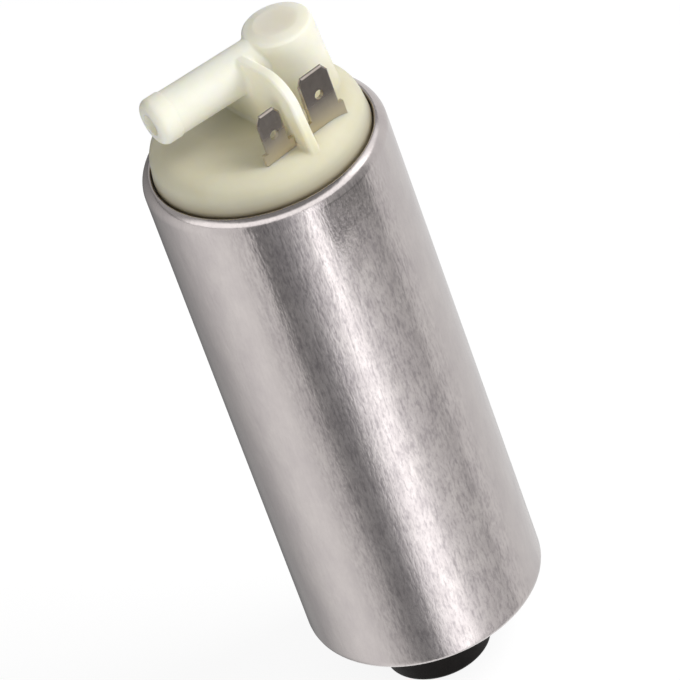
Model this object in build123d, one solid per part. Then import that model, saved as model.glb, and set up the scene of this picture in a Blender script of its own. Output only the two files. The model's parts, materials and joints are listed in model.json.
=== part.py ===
from build123d import *
import os
from math import acos, atan2, cos, degrees, pi, radians, sin, sqrt

# In-tank electric fuel pump: a crimped metal shell round a gerotor pump, a brush motor and an
# end cover with outlet nozzle, check valve and two blade terminals.
# Millimetres. +Z runs up the pump axis, X along the line of the terminals, the rib lies on the
# YZ plane, and z = 0 is the lower end of the inlet neck.

# Shell
shell_radius = 21.5
shell_length = 102.0
shell_wall = 1.2
shell_corner = 2.6
top_lip_width = 2.05             # from the shell's outside to the lip's inner edge
bottom_lip_width = 4.5
lip_edge_round = 0.4
bore_gap = 0.05                  # between the shell's bore and what is pushed into it

# Inlet cover and neck
neck_length = 12.0               # below the shell
neck_radius = 9.75
neck_wall = 1.75
neck_offset = -1.5               # the neck stands off the pump axis along X
neck_round = 0.8
inlet_disc_thickness = 12.0
inlet_land = 7.2                 # what the neck's bore leaves of the disc
seal_section = 0.7               # radius of the rubber cord of both shell seals
seal_height = 6.8                # of the lower seal, above the disc's underside
touch_gap = 0.02                 # between faces that touch and move

# Gerotor: an inner rotor with one lobe less than the outer rotor has arcs
outer_lobes = 7
eccentricity = 1.2
lobe_radius = 3.5
rotor_wall = 3.5
rotor_height = 6.9
rotor_clearance = 0.08           # between the two rotors' flanks
running_gap = 0.05               # round and under what turns
profile_points = 20              # on each lobe of the inner rotor

# Pump stack
pump_ring_wall = 5.52            # where the ring is thinnest
plate_thickness = 5.0
bearing_hub_wall = 1.8
port_root_gap = 0.3              # outside the inner rotor's root circle
port_width = 3.0
port_angle = 100.0               # swept by each kidney port
port_bore_gap = 0.4              # from the inlet port to the neck's bore
screw_count = 4
screw_edge = 3.25                # from the screws' axes to the stack's outside
screw_radius = 1.5
screw_head_radius = 2.6
screw_head_height = 2.6
screw_play = 0.05
screw_recess = 0.6               # of the heads below the plate's top face
screw_socket_radius = 1.4
screw_socket_depth = 1.3
screw_bite = 9.0                 # into the inlet cover

# Relief valve in the inlet cover
relief_edge = 4.85               # from the valve's axis to the stack's outside
relief_bore = 2.8
relief_floor = 2.0
relief_vent_radius = 1.2
relief_passage_radius = 1.5
relief_seat_thickness = 1.8
relief_seat_hole = 1.4
relief_ball_radius = 2.25
relief_spring_radius = 1.6
relief_wire = 0.22
relief_turns = 4
spring_gap = 0.08                # from a spring's end to its seat

# Shaft, coupling and bearings
shaft_radius = 2.5
shaft_play = 0.03
shaft_chamfer = 0.3
shaft_stub = 0.5                 # past the upper bearing
thrust_pad_thickness = 1.2
thrust_depth = 5.0
end_play = 0.1
coupling_radius = 5.0
coupling_height = 3.5
coupling_cavity_depth = 4.2
coupling_pin_radius = 0.9
coupling_pin_circle = 4.2
coupling_pin_length = 5.0
coupling_lift = 0.3              # of the hub above the rotor, and round it
coupling_play = 0.1
bearing_wall = 2.0
lower_bearing_length = 6.4
upper_bearing_length = 6.5

# Motor
flux_ring_wall = 1.2
magnet_wall = 4.1
magnet_overhang = 5.0            # past each end of the core
magnet_angle = 140.0
magnet_clip_thickness = 0.5
magnet_clip_leg = 2.6
air_gap = 0.6
slot_count = 8
tooth_width = 3.0
slot_bottom_radius = 6.6
slot_mouth = 1.8
pole_shoe = 1.7
slot_liner = 0.2
insulator_thickness = 1.0
end_turn_height = 6.0
end_turn_round = 2.0
commutator_radius = 11.0
commutator_inner_radius = 4.2
commutator_hub_height = 4.0
commutator_copper = 4.5
commutator_slit = 0.6
commutator_stand_off = 0.9       # from the end turns to the hub
end_turn_stand_off = 3.9         # from the pump plate to the end turns

# Brush gear
brush_width = 5.2                # along X
brush_depth = 4.6                # along Y
brush_length = 9.0
brush_circle = 7.8
brush_play = 0.1
brush_gap = 3.5                  # commutator face to the cover's underside
brush_bore_roof = 3.5
brush_spring_radius = 1.75
brush_spring_wire = 0.2
brush_spring_turns = 6
lead_radius = 0.5
strip_thickness = 0.6
strip_width = 1.6
strip_pad_radius = 2.2
strip_clear = 0.4                # from the valve's bore

# End cover
cover_body_depth = 8.8           # from under the shell's top lip to the cover's underside
skirt_depth = 9.0
skirt_wall = 1.65
dome_lip_gap = 0.25
dome_draft = 0.3
dome_wall_height = 2.0
dome_round = 4.0
upper_seal_height = 4.4          # above the cover's underside

# Check-valve tower on the cover
tower_x = 9.4
tower_y = -1.65
tower_height = 14.4              # above the dome's flat
tower_top_radius = 6.1
tower_base_radius = 6.9
tower_round = 0.7
tower_roof = 2.4
crown_radius = 3.9               # of the flat in the middle of the tower's roof
crown_drop = 0.6                 # from that flat to the roof's rim
crown_round = 2.0
valve_bore = 4.2
valve_seat_length = 7.0
valve_seat_height = 6.0          # of its lower end, above the cover's underside
valve_seat_bore = 2.4
poppet_radius = 3.4
poppet_thickness = 2.0
poppet_round = 0.3
poppet_pip_radius = 1.9
poppet_pip_height = 2.5
poppet_guide_length = 4.0
poppet_guide_web = 0.8
poppet_play = 0.1
valve_spring_radius = 2.55
valve_spring_wire = 0.28
valve_spring_turns = 6

# Outlet nozzle
nozzle_height = 9.8              # of its axis above the dome's flat
nozzle_reach = 27.0              # from the tower's axis to the tip
nozzle_angle = 174.0             # direction in the XY plane, in degrees from +X
nozzle_radius = 4.1
nozzle_bore = 2.0
bead_radius = 4.3
bead_length = 3.8
bead_round = 1.5

# Rib between the terminals
rib_thickness = 1.9
rib_x = 0.3
rib_inset = 1.3                  # from the dome's edge, where the rib sinks into the dome
rib_lean = 1.6
rib_corner = 6.5
rib_height = 13.4
rib_back_foot = 6.5              # reach along +Y
rib_back_top = 2.5
rib_edge_round = 0.5
rib_sink = 3.0                   # of rib and tower into the dome

# Concave rounds between the cover's parts
web_round = 1.0                  # nozzle and rib
joint_round = 0.7                # nozzle and tower
foot_round = 0.6                 # dome and what stands on it

# Blade terminals
terminal_inset = 1.4             # from the edge of the dome's flat
blade_thickness = 0.8
wide_blade = 6.3
wide_x = 6.2
wide_height = 10.6               # above the dome's flat
narrow_blade = 4.8
narrow_x = -4.1
narrow_height = 9.3
blade_corner = 0.9
blade_corner_height = 1.4
blade_bevel = 0.25
shoulder = 0.75
shoulder_height = 2.0
blade_hole_radius = 0.85
blade_hole_drop = 4.7            # from the tip
terminal_sink = 1.0              # of the shoulders into the dome
tail_width = 4.6
tail_lift = 1.2                  # of the tail's end above the cover's underside

# Suppression chokes
choke_set_back = 3.2             # from the terminals
choke_narrow_x = -6.2
choke_pocket_radius = 2.95
choke_lift = 1.0                 # of the core above the cover's underside
choke_core_radius = 1.4
choke_coil_radius = 2.2
choke_length = 8.0
choke_core_extra = 0.8           # of the core past the coil, at each end
choke_wire_radius = 0.35

# Levels up the pump axis
shell_bottom = neck_length
shell_top = shell_bottom + shell_length
disc_bottom = shell_bottom + shell_wall
disc_top = disc_bottom + inlet_disc_thickness
plate_bottom = disc_top + rotor_height + 2 * running_gap
plate_top = plate_bottom + plate_thickness
screw_seat = plate_top - screw_recess - screw_head_height
cover_flange_top = shell_top - shell_wall
cover_under = cover_flange_top - cover_body_depth
skirt_bottom = cover_under - skirt_depth
dome_flat = shell_top + dome_wall_height + dome_round
tower_top = dome_flat + tower_height
nozzle_z = dome_flat + nozzle_height
commutator_face = cover_under - brush_gap
commutator_base = commutator_face - commutator_copper - commutator_hub_height
core_top = commutator_base - commutator_stand_off - end_turn_height - insulator_thickness
core_bottom = plate_top + end_turn_stand_off + end_turn_height + insulator_thickness
magnet_bottom = core_bottom - magnet_overhang
magnet_top = core_top + magnet_overhang
brush_top = commutator_face + touch_gap + brush_length
brush_bore_top = dome_flat - brush_bore_roof
valve_bore_top = tower_top - tower_roof
valve_seat_bottom = cover_under + valve_seat_height
valve_seat_top = valve_seat_bottom + valve_seat_length
shaft_bottom = disc_top - thrust_depth + thrust_pad_thickness + end_play
bearing_top = cover_under + upper_bearing_length
shaft_top = bearing_top + shaft_stub
lower_bearing_bottom = plate_bottom + coupling_cavity_depth
lower_bearing_top = lower_bearing_bottom + lower_bearing_length
tail_bottom = cover_under + tail_lift

# Radii and places that follow from the ones above
shell_bore = shell_radius - shell_wall
stack_radius = shell_bore - bore_gap
top_lip_radius = shell_radius - top_lip_width
bottom_lip_radius = shell_radius - bottom_lip_width
dome_base_radius = top_lip_radius - dome_lip_gap
dome_upper_radius = dome_base_radius - dome_draft
dome_flat_radius = dome_upper_radius - dome_round
terminal_y = terminal_inset - dome_flat_radius
tail_back = terminal_y + blade_thickness / 2
choke_y = terminal_y + choke_set_back
rib_front = dome_base_radius - rib_inset
rib_front_top = rib_front - rib_lean
screw_circle = stack_radius - screw_edge
relief_circle = stack_radius - relief_edge
bearing_radius = shaft_radius + shaft_play + bearing_wall
flux_inner = stack_radius - flux_ring_wall
magnet_outer = flux_inner - bore_gap
magnet_inner = magnet_outer - magnet_wall
core_radius = magnet_inner - air_gap
inner_lobes = outer_lobes - 1
outer_rotor_radius = stack_radius - pump_ring_wall - eccentricity - running_gap
rotor_pocket_radius = outer_rotor_radius - rotor_wall
lobe_pitch_radius = rotor_pocket_radius + lobe_radius - 2 * eccentricity - rotor_clearance
port_inner_radius = lobe_pitch_radius - lobe_radius - eccentricity + port_root_gap
neck_bore = neck_radius - neck_wall
relief_ball_z = (disc_top - relief_seat_thickness - touch_gap
                 - sqrt(relief_ball_radius ** 2 - relief_seat_hole ** 2))


def cylinder(radius, low, high, x=0.0, y=0.0):
    """A solid cylinder along Z between two levels."""
    return Pos(x, y, low) * Cylinder(radius, high - low, align=(Align.CENTER, Align.CENTER, Align.MIN))


def tube(outer, inner, low, high, x=0.0, y=0.0):
    """A hollow cylinder along Z between two levels."""
    return cylinder(outer, low, high, x, y) - cylinder(inner, low, high, x, y)


def block(x_low, x_high, y_low, y_high, low, high):
    """A box between six planes."""
    centre = ((x_low + x_high) / 2, (y_low + y_high) / 2, (low + high) / 2)
    return Pos(*centre) * Box(x_high - x_low, y_high - y_low, high - low)


def sector(outer, inner, start, sweep_angle, low, high):
    """A ring sector about Z from a start angle, in degrees."""
    steps = [radians(start + sweep_angle * share) for share in (0, 0.5, 1)]
    rim = [(outer * cos(a), outer * sin(a)) for a in steps]
    root = [(inner * cos(a), inner * sin(a)) for a in steps]
    outline = [ThreePointArc(*rim), Line(rim[2], root[2]), ThreePointArc(*reversed(root)), Line(root[0], rim[0])]
    return Pos(0, 0, low) * extrude(make_face(outline), high - low)


def around(shape, count, start=0.0):
    """Copies of a shape, evenly spaced about Z."""
    return [Rot(0, 0, start + 360 * i / count) * shape for i in range(count)]


def circles(shape, radius=None, level=None):
    """The circular edges of a shape, of one radius or at one level where these are given."""
    edges = shape.edges().filter_by(GeomType.CIRCLE)
    if radius is not None:
        edges = edges.filter_by(lambda e: abs(e.radius - radius) < 0.01)
    if level is not None:
        edges = edges.filter_by(lambda e: abs(e.center().Z - level) < 0.01)
    return edges


def biarc(p0, t0, p1, t1):
    """Two arcs from p0 to p1 that leave along t0, arrive along t1 and meet smoothly."""
    chord = p1 - p0
    along = chord.dot(t0 + t1)
    spread = 2 * (1 - t0.dot(t1))
    reach = (sqrt(along ** 2 + spread * chord.dot(chord)) - along) / spread
    middle = (p0 + p1 + (t0 - t1) * reach) * 0.5
    heading = (p1 - t1 * reach - p0 - t0 * reach).normalized()
    return [TangentArc(p0, middle, tangent=t0), TangentArc(middle, p1, tangent=heading)]


def coil_spring(radius, wire, turns, low, high, x, y):
    """A round-wire compression spring along Z whose ends run straight for one wire diameter."""
    rise = high - low - 2 * wire
    pitch = rise / turns
    quarters = 4 * turns

    def place(i):
        a = i * pi / 2
        return Vector(x + radius * cos(a), y + radius * sin(a), low + wire + rise * i / quarters)

    def heading(i):
        a = i * pi / 2
        return Vector(-radius * sin(a), radius * cos(a), pitch / (2 * pi)).normalized()

    start = place(0) - heading(0) * (2 * wire)
    end = place(quarters) + heading(quarters) * (2 * wire)
    edges = [Line(start, place(0)).edge()]
    for i in range(quarters):
        edges += [arc.edge() for arc in biarc(place(i), heading(i), place(i + 1), heading(i + 1))]
    edges.append(Line(place(quarters), end).edge())
    print("spring of radius %.2f: least gap between turns %.2f" % (radius, pitch - 2 * wire))
    return sweep(Plane(origin=start, z_dir=heading(0)) * Circle(wire), path=Wire(edges))


def seal_ring(level):
    """A rubber ring in a groove at the shell's bore."""
    return Pos(0, 0, level) * Torus(stack_radius - seal_section, seal_section - touch_gap)


def seal_groove(level):
    """The groove that a seal ring sits in."""
    outside = stack_radius + seal_section
    return tube(outside, stack_radius - 2 * seal_section, level - seal_section, level + seal_section)


def arc_round(middle, radius, first, last):
    """The arc about a point in the XZ plane between two angles from the X axis."""
    ends = [(middle[0] + radius * cos(a), middle[1] + radius * sin(a)) for a in (first, (first + last) / 2, last)]
    return ThreePointArc(*ends)


def shell():
    """Drawn tube with both ends rolled in over the covers; the top lip ends within its roll."""
    edge = (top_lip_radius + lip_edge_round, shell_top - lip_edge_round)
    roll_x = shell_radius - shell_corner
    turn = acos((edge[0] - roll_x) / (shell_corner - lip_edge_round))
    roll = (roll_x, edge[1] - (shell_corner - lip_edge_round) * sin(turn))
    outline = [
        Polyline((bottom_lip_radius, shell_bottom), (shell_radius, shell_bottom), (shell_radius, roll[1])),
        arc_round(roll, shell_corner, 0, turn),
        arc_round(edge, lip_edge_round, turn, pi),
        Polyline((top_lip_radius, edge[1]), (top_lip_radius, cover_flange_top),
                 (shell_bore, cover_flange_top), (shell_bore, disc_bottom),
                 (bottom_lip_radius, disc_bottom), (bottom_lip_radius, shell_bottom))]
    body = revolve(Plane.XZ * make_face(outline), Axis.Z)
    body = fillet(circles(body, shell_radius, shell_bottom), shell_corner)
    return fillet(circles(body, bottom_lip_radius, shell_bottom), lip_edge_round)


def screw_places():
    """The axes of the screws that clamp the pump stack."""
    angles = [radians(45 + 360 * i / screw_count) for i in range(screw_count)]
    return [(screw_circle * cos(a), screw_circle * sin(a)) for a in angles]


def kidney_port(middle_angle, low, high):
    """The curved window that feeds the rotors' pockets, or empties them."""
    start = middle_angle - port_angle / 2
    return sector(port_inner_radius + port_width, port_inner_radius, start, port_angle, low, high)


def inlet_cover():
    """Moulded disc with the inlet neck below it. It holds the relief valve and the shaft's end."""
    neck = cylinder(neck_radius, 0, disc_bottom, neck_offset)
    neck = fillet(circles(neck, level=0), neck_round)
    body = cylinder(stack_radius, disc_bottom, disc_top) + neck
    port_limit = cylinder(neck_bore - port_bore_gap, 0, disc_top, neck_offset)
    body -= kidney_port(180, disc_bottom, disc_top) & port_limit
    body -= cylinder(neck_bore, 0, disc_top - inlet_land, neck_offset)
    body -= cylinder(shaft_radius + shaft_play, disc_top - thrust_depth, disc_top)
    body -= cylinder(relief_bore, disc_bottom + relief_floor, disc_top, 0, -relief_circle)
    body -= cylinder(relief_vent_radius, disc_bottom, disc_top, 0, -relief_circle)
    body -= seal_groove(disc_bottom + seal_height)
    for x, y in screw_places():
        body -= cylinder(screw_radius, disc_top - screw_bite, disc_top, x, y)
    return body


def pump_screws():
    """Socket-head screws from the plate through the ring into the inlet cover."""
    face = screw_seat + screw_head_height
    screw = cylinder(screw_head_radius, screw_seat, face)
    screw += cylinder(screw_radius, disc_top - screw_bite, screw_seat)
    socket = extrude(RegularPolygon(screw_socket_radius, 6), screw_socket_depth)
    screw -= Pos(0, 0, face - screw_socket_depth) * socket
    return [Pos(x, y, 0) * screw for x, y in screw_places()]


def relief_seat():
    """Steel ring pressed in over the relief ball."""
    return tube(relief_bore, relief_seat_hole, disc_top - relief_seat_thickness, disc_top, 0, -relief_circle)


def relief_ball():
    """Steel ball that closes the relief passage from below."""
    return Pos(0, -relief_circle, relief_ball_z) * Sphere(relief_ball_radius)


def relief_spring():
    """Spring that holds the ball against its seat."""
    reach = relief_ball_radius + relief_wire + spring_gap
    top = relief_ball_z - sqrt(reach ** 2 - relief_spring_radius ** 2) + relief_wire
    low = disc_bottom + relief_floor + spring_gap
    return coil_spring(relief_spring_radius, relief_wire, relief_turns, low, top, 0, -relief_circle)


def pump_ring():
    """Spacer ring whose offset bore carries the outer rotor."""
    body = cylinder(stack_radius, disc_top, plate_bottom)
    body -= cylinder(outer_rotor_radius + running_gap, disc_top, plate_bottom, 0, eccentricity)
    body -= cylinder(relief_passage_radius, disc_top, plate_bottom, 0, -relief_circle)
    for x, y in screw_places():
        body -= cylinder(screw_radius + screw_play, disc_top, plate_bottom, x, y)
    return body


def outer_rotor():
    """Rotor with arc lobes inside, on an axis offset from the shaft by the eccentricity."""
    pocket = Sketch() + Circle(rotor_pocket_radius)
    for i in range(outer_lobes):
        a = radians(-90 + 360 * i / outer_lobes)
        pocket -= Pos(lobe_pitch_radius * cos(a), lobe_pitch_radius * sin(a)) * Circle(lobe_radius)
    ring = Circle(outer_rotor_radius) - pocket
    return Pos(0, eccentricity, disc_top + running_gap) * extrude(ring, rotor_height)


def inner_profile():
    """The inner rotor's outline, the envelope of the outer lobes as both rotors turn."""
    n = outer_lobes
    flank = lobe_radius + rotor_clearance
    points = []
    for i in range(inner_lobes * profile_points):
        t = 2 * pi * i / (inner_lobes * profile_points)
        lean = atan2(sin((1 - n) * t), lobe_pitch_radius / (eccentricity * n) - cos((1 - n) * t))
        x = lobe_pitch_radius * cos(t) - flank * cos(t + lean) - eccentricity * cos(n * t)
        y = -lobe_pitch_radius * sin(t) + flank * sin(t + lean) + eccentricity * sin(n * t)
        points.append((y, -x))
    return make_face(Spline(*points, periodic=True))


def inner_rotor():
    """Rotor with one lobe less, driven by the coupling's two pins."""
    low = disc_top + running_gap
    body = Pos(0, 0, low) * extrude(inner_profile(), rotor_height)
    body -= cylinder(shaft_radius + coupling_play, low, plate_bottom)
    for side in (-1, 1):
        body -= cylinder(coupling_pin_radius + coupling_play, low, plate_bottom, side * coupling_pin_circle)
    return body


def drive_coupling():
    """Hub pressed on the shaft, with two pins that reach down into the inner rotor."""
    low = plate_bottom + coupling_lift
    body = cylinder(coupling_radius, low, low + coupling_height)
    for side in (-1, 1):
        body += cylinder(coupling_pin_radius, plate_bottom - coupling_pin_length, low, side * coupling_pin_circle)
    return body - cylinder(shaft_radius, low, low + coupling_height)


def pump_plate():
    """Upper plate of the pump, with the outlet port and the lower bearing's hub."""
    body = cylinder(stack_radius, plate_bottom, plate_top)
    body += cylinder(bearing_radius + bearing_hub_wall, plate_bottom, lower_bearing_top)
    body -= cylinder(coupling_radius + coupling_lift, plate_bottom, lower_bearing_bottom)
    body -= cylinder(bearing_radius, plate_bottom, lower_bearing_top)
    body -= kidney_port(0, plate_bottom, plate_top)
    body -= cylinder(relief_passage_radius, plate_bottom, plate_top, 0, -relief_circle)
    for x, y in screw_places():
        body -= cylinder(screw_radius + screw_play, plate_bottom, screw_seat, x, y)
        body -= cylinder(screw_head_radius + screw_play, screw_seat, plate_top, x, y)
    return body


def bearing(low, high):
    """Sintered bush."""
    return tube(bearing_radius, shaft_radius + shaft_play, low, high)


def armature_shaft():
    """Ground steel shaft with chamfered ends."""
    body = cylinder(shaft_radius, shaft_bottom, shaft_top)
    return chamfer(circles(body), shaft_chamfer)


def slot_outline(inset):
    """One winding slot between parallel-sided teeth, drawn in from its walls by an inset."""
    half = pi / slot_count
    low = slot_bottom_radius + inset
    high = core_radius - pole_shoe - inset
    tooth = tooth_width / 2 / cos(half) + inset
    low_half = low * sin(half) / cos(half) - tooth
    high_half = high * sin(half) / cos(half) - tooth
    return make_face(Polyline((low, -low_half), (high, -high_half), (high, high_half), (low, low_half), close=True))


def core_layer(low, thickness):
    """A slice of the slotted core: the laminations, or one end insulator."""
    face = Circle(core_radius) - Circle(shaft_radius)
    mouth = Pos(core_radius, 0) * Rectangle(4 * pole_shoe, slot_mouth)
    for cut in around(slot_outline(0), slot_count) + around(mouth, slot_count):
        face -= cut
    return Pos(0, 0, low) * extrude(face, thickness)


def armature_windings():
    """Copper in the slots, joined by rounded end turns above and below the core."""
    low = core_bottom - insulator_thickness
    high = core_top + insulator_thickness
    outer = core_radius - pole_shoe - slot_liner
    inner = slot_bottom_radius + slot_liner
    lower = tube(outer, inner, low - end_turn_height, low)
    upper = tube(outer, inner, high, high + end_turn_height)
    bend = min(end_turn_round, (outer - inner) / 2 - slot_liner)
    body = fillet(circles(lower, level=low - end_turn_height), bend)
    body += fillet(circles(upper, level=high + end_turn_height), bend)
    for bundle in around(slot_outline(slot_liner), slot_count):
        body += Pos(0, 0, low) * extrude(bundle, high - low)
    return body


def commutator_segments():
    """Copper sectors on the commutator's face, parted by slits."""
    low = commutator_face - commutator_copper
    ring = tube(commutator_radius, commutator_inner_radius, low, commutator_face)
    half = commutator_slit / 2
    slit = block(0, 2 * commutator_radius, -half, half, low, commutator_face)
    for cut in around(slit, slot_count, 180 / slot_count):
        ring -= cut
    return ring


def magnet(middle_angle):
    """Ferrite segment on the flux ring's wall."""
    start = middle_angle - magnet_angle / 2
    return sector(magnet_outer, magnet_inner, start, magnet_angle, magnet_bottom, magnet_top)


def magnet_clip(middle_angle):
    """Spring clip that spreads the two magnets apart."""
    span = 180 - magnet_angle
    leg_angle = degrees(magnet_clip_thickness / magnet_outer)
    start = middle_angle - span / 2
    body = sector(magnet_outer, magnet_outer - magnet_clip_thickness, start, span, magnet_bottom, magnet_top)
    for edge in (start, start + span - leg_angle):
        body += sector(magnet_outer, magnet_outer - magnet_clip_leg, edge, leg_angle, magnet_bottom, magnet_top)
    return body


def brush(side):
    """Carbon brush that slides in the cover and rests on the commutator's face."""
    y = side * brush_circle
    low = commutator_face + touch_gap
    return block(-brush_width / 2, brush_width / 2, y - brush_depth / 2, y + brush_depth / 2, low, brush_top)


def brush_bore(side):
    """The square guide that a brush slides in."""
    y = side * brush_circle
    half_width = brush_width / 2 + brush_play
    half_depth = brush_depth / 2 + brush_play
    return block(-half_width, half_width, y - half_depth, y + half_depth, cover_under, brush_bore_top)


def brush_spring(side):
    """Spring from the brush to the top of its guide."""
    return coil_spring(brush_spring_radius, brush_spring_wire, brush_spring_turns,
                       brush_top + spring_gap, brush_bore_top - spring_gap, 0, side * brush_circle)


def brush_lead(side):
    """Copper braid inside the brush spring."""
    return cylinder(lead_radius, brush_top, brush_bore_top, 0, side * brush_circle)


def strip(points):
    """Flat conductor in the cover's roof, with a round pad at each end."""
    face = Pos(*points[0]) * Circle(strip_pad_radius) + Pos(*points[-1]) * Circle(strip_pad_radius)
    for (x0, y0), (x1, y1) in zip(points, points[1:]):
        length = sqrt((x1 - x0) ** 2 + (y1 - y0) ** 2)
        turn = degrees(atan2(y1 - y0, x1 - x0))
        face += Pos((x0 + x1) / 2, (y0 + y1) / 2) * Rot(0, 0, turn) * SlotCenterToCenter(length, strip_width)
    return Pos(0, 0, brush_bore_top) * extrude(face, strip_thickness)


def strip_narrow():
    """Conductor from the front brush to the choke of the narrow terminal."""
    return strip([(0, -brush_circle), (choke_narrow_x, choke_y)])


def strip_wide():
    """Conductor from the rear brush to the choke of the wide terminal, past the valve's bore."""
    x = tower_x - valve_bore - strip_width / 2 - strip_clear
    return strip([(0, brush_circle), (x, brush_circle / 3), (x, choke_y / 2), (wide_x, choke_y)])


def choke_core(x):
    """Ferrite rod of a suppression choke."""
    low = cover_under + choke_lift
    return cylinder(choke_core_radius, low, low + choke_length + 2 * choke_core_extra, x, choke_y)


def choke_coil(x):
    """Wound sleeve on the rod, one wire end to the strip above and one to the terminal's tail."""
    low = cover_under + choke_lift + choke_core_extra
    side = (choke_coil_radius + choke_core_radius) / 2
    body = tube(choke_coil_radius, choke_core_radius, low, low + choke_length, x, choke_y)
    body += cylinder(choke_wire_radius, low + choke_length / 2, brush_bore_top, x, choke_y + side)
    lead = Rot(90, 0, 0) * cylinder(choke_wire_radius, 0, choke_y - side - tail_back)
    return body + Pos(x, choke_y - side, low + 2 * choke_wire_radius) * lead


def terminal(x, width, height):
    """Stamped blade with bevelled edges, shoulders on the cover and a tail down to the choke."""
    seat = dome_flat + shoulder_height
    tip = dome_flat + height
    half = width / 2
    t = blade_thickness / 2
    side_top = tip - blade_corner_height
    outline = Polyline((-half, seat), (half, seat), (half, side_top), (half - blade_corner, tip),
                       (blade_corner - half, tip), (-half, side_top), close=True)
    blade = extrude(Plane.XZ * make_face(outline), t, both=True)
    rims = blade.edges().filter_by(lambda e: abs(abs(e.center().Y) - t) < 0.01 and e.center().Z > seat + t)
    blade = chamfer(rims, blade_bevel)
    blade -= Pos(0, 0, tip - blade_hole_drop) * Rot(90, 0, 0) * Cylinder(blade_hole_radius, 4 * t)
    foot = block(-half - shoulder, half + shoulder, -t, t, dome_flat - terminal_sink, seat)
    tail = block(-tail_width / 2, tail_width / 2, -t, t, tail_bottom, dome_flat - terminal_sink)
    return Pos(x, terminal_y, 0) * (blade + foot + tail)


def check_valve_seat():
    """Sleeve pressed into the tower from below, whose upper end is the valve's seat."""
    return tube(valve_bore, valve_seat_bore, valve_seat_bottom, valve_seat_top, tower_x, tower_y)


def check_valve_poppet():
    """Valve disc with a pip for the spring above and a crossed guide below."""
    low = valve_seat_top + touch_gap
    high = low + poppet_thickness
    head = cylinder(poppet_radius, low, high)
    body = fillet(circles(head), poppet_round) + cylinder(poppet_pip_radius, high, high + poppet_pip_height)
    reach = valve_seat_bore - poppet_play
    web = poppet_guide_web / 2
    guide = block(-reach, reach, -web, web, low - poppet_guide_length, high)
    guide += block(-web, web, -reach, reach, low - poppet_guide_length, high)
    body += guide & cylinder(reach, low - poppet_guide_length, high)
    return Pos(tower_x, tower_y, 0) * body


def check_valve_spring():
    """Spring from the valve disc to the tower's roof."""
    low = valve_seat_top + touch_gap + poppet_thickness + spring_gap
    return coil_spring(valve_spring_radius, valve_spring_wire, valve_spring_turns,
                       low, valve_bore_top - spring_gap, tower_x, tower_y)


def on_nozzle(shape):
    """Turn a shape built up the Z axis on to the nozzle's axis."""
    return Pos(tower_x, tower_y, nozzle_z) * Rot(0, 0, nozzle_angle) * Rot(0, 90, 0) * shape


def blend(first, second, radius):
    """Two shapes joined, with a concave round where they meet."""
    whole = first + second
    return fillet(new_edges(first, second, combined=whole), radius)


def nozzle():
    """Hose stub with a rounded bead at its tip."""
    bead_start = nozzle_reach - bead_length
    bead = cylinder(bead_radius, bead_start, nozzle_reach)
    bead = fillet(circles(bead, level=nozzle_reach), bead_round)
    bead = fillet(circles(bead, level=bead_start), bead_radius - nozzle_radius)
    return on_nozzle(cylinder(nozzle_radius, 0, nozzle_reach - bead_round) + bead)


def rib():
    """Upright plate under the nozzle, with a rounded front corner that parts the terminals."""
    top = dome_flat + rib_height
    foot = dome_flat - rib_sink
    turn = top - rib_corner
    mid_y = rib_corner - rib_front_top
    bow = rib_corner * sin(pi / 4)
    outline = [
        Line((-rib_front, foot), (-rib_front_top, turn)),
        ThreePointArc((-rib_front_top, turn), (mid_y - bow, turn + bow), (mid_y, top)),
        Line((mid_y, top), (0, top)),
        Line((0, top), (rib_back_top, nozzle_z)),
        Line((rib_back_top, nozzle_z), (rib_back_foot, foot)),
        Line((rib_back_foot, foot), (-rib_front, foot))]
    half = rib_thickness / 2
    plate = extrude(Plane.YZ * make_face(outline), half, both=True)
    rims = plate.edges().filter_by(
        lambda e: abs(abs(e.center().X) - half) < 0.01 and e.center().Z > foot + 0.1 and e.center().Y < 0)
    return Pos(rib_x, 0, 0) * fillet(rims, rib_edge_round)


def tower():
    """Drafted round tower over the check valve, whose roof falls from a flat to its rim."""
    slope = (tower_base_radius - tower_top_radius) / tower_height
    wall_height = tower_height + rib_sink - crown_drop
    on_foot = (Align.CENTER, Align.CENTER, Align.MIN)
    wall = Cone(tower_base_radius + slope * rib_sink, tower_top_radius, wall_height, align=on_foot)
    roof = Cone(tower_top_radius, crown_radius, crown_drop, align=on_foot)
    body = wall + Pos(0, 0, wall_height) * roof
    body = fillet(circles(body, tower_top_radius), tower_round)
    body = fillet(circles(body, crown_radius), crown_round)
    return Pos(tower_x, tower_y, dome_flat - rib_sink) * body


def dome():
    """The cover's turned body: skirt, flange under the shell's lip, and rounded dome."""
    bend = dome_round * sin(pi / 4)
    wall_top = shell_top + dome_wall_height
    skirt_inner = stack_radius - skirt_wall
    outline = [
        Polyline((0, dome_flat), (0, cover_under), (skirt_inner, cover_under), (skirt_inner, skirt_bottom),
                 (stack_radius, skirt_bottom), (stack_radius, cover_flange_top),
                 (dome_base_radius, cover_flange_top), (dome_base_radius, shell_top),
                 (dome_upper_radius, wall_top)),
        ThreePointArc((dome_upper_radius, wall_top), (dome_flat_radius + bend, wall_top + bend),
                      (dome_flat_radius, dome_flat)),
        Line((dome_flat_radius, dome_flat), (0, dome_flat))]
    return revolve(Plane.XZ * make_face(outline), Axis.Z)


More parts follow.
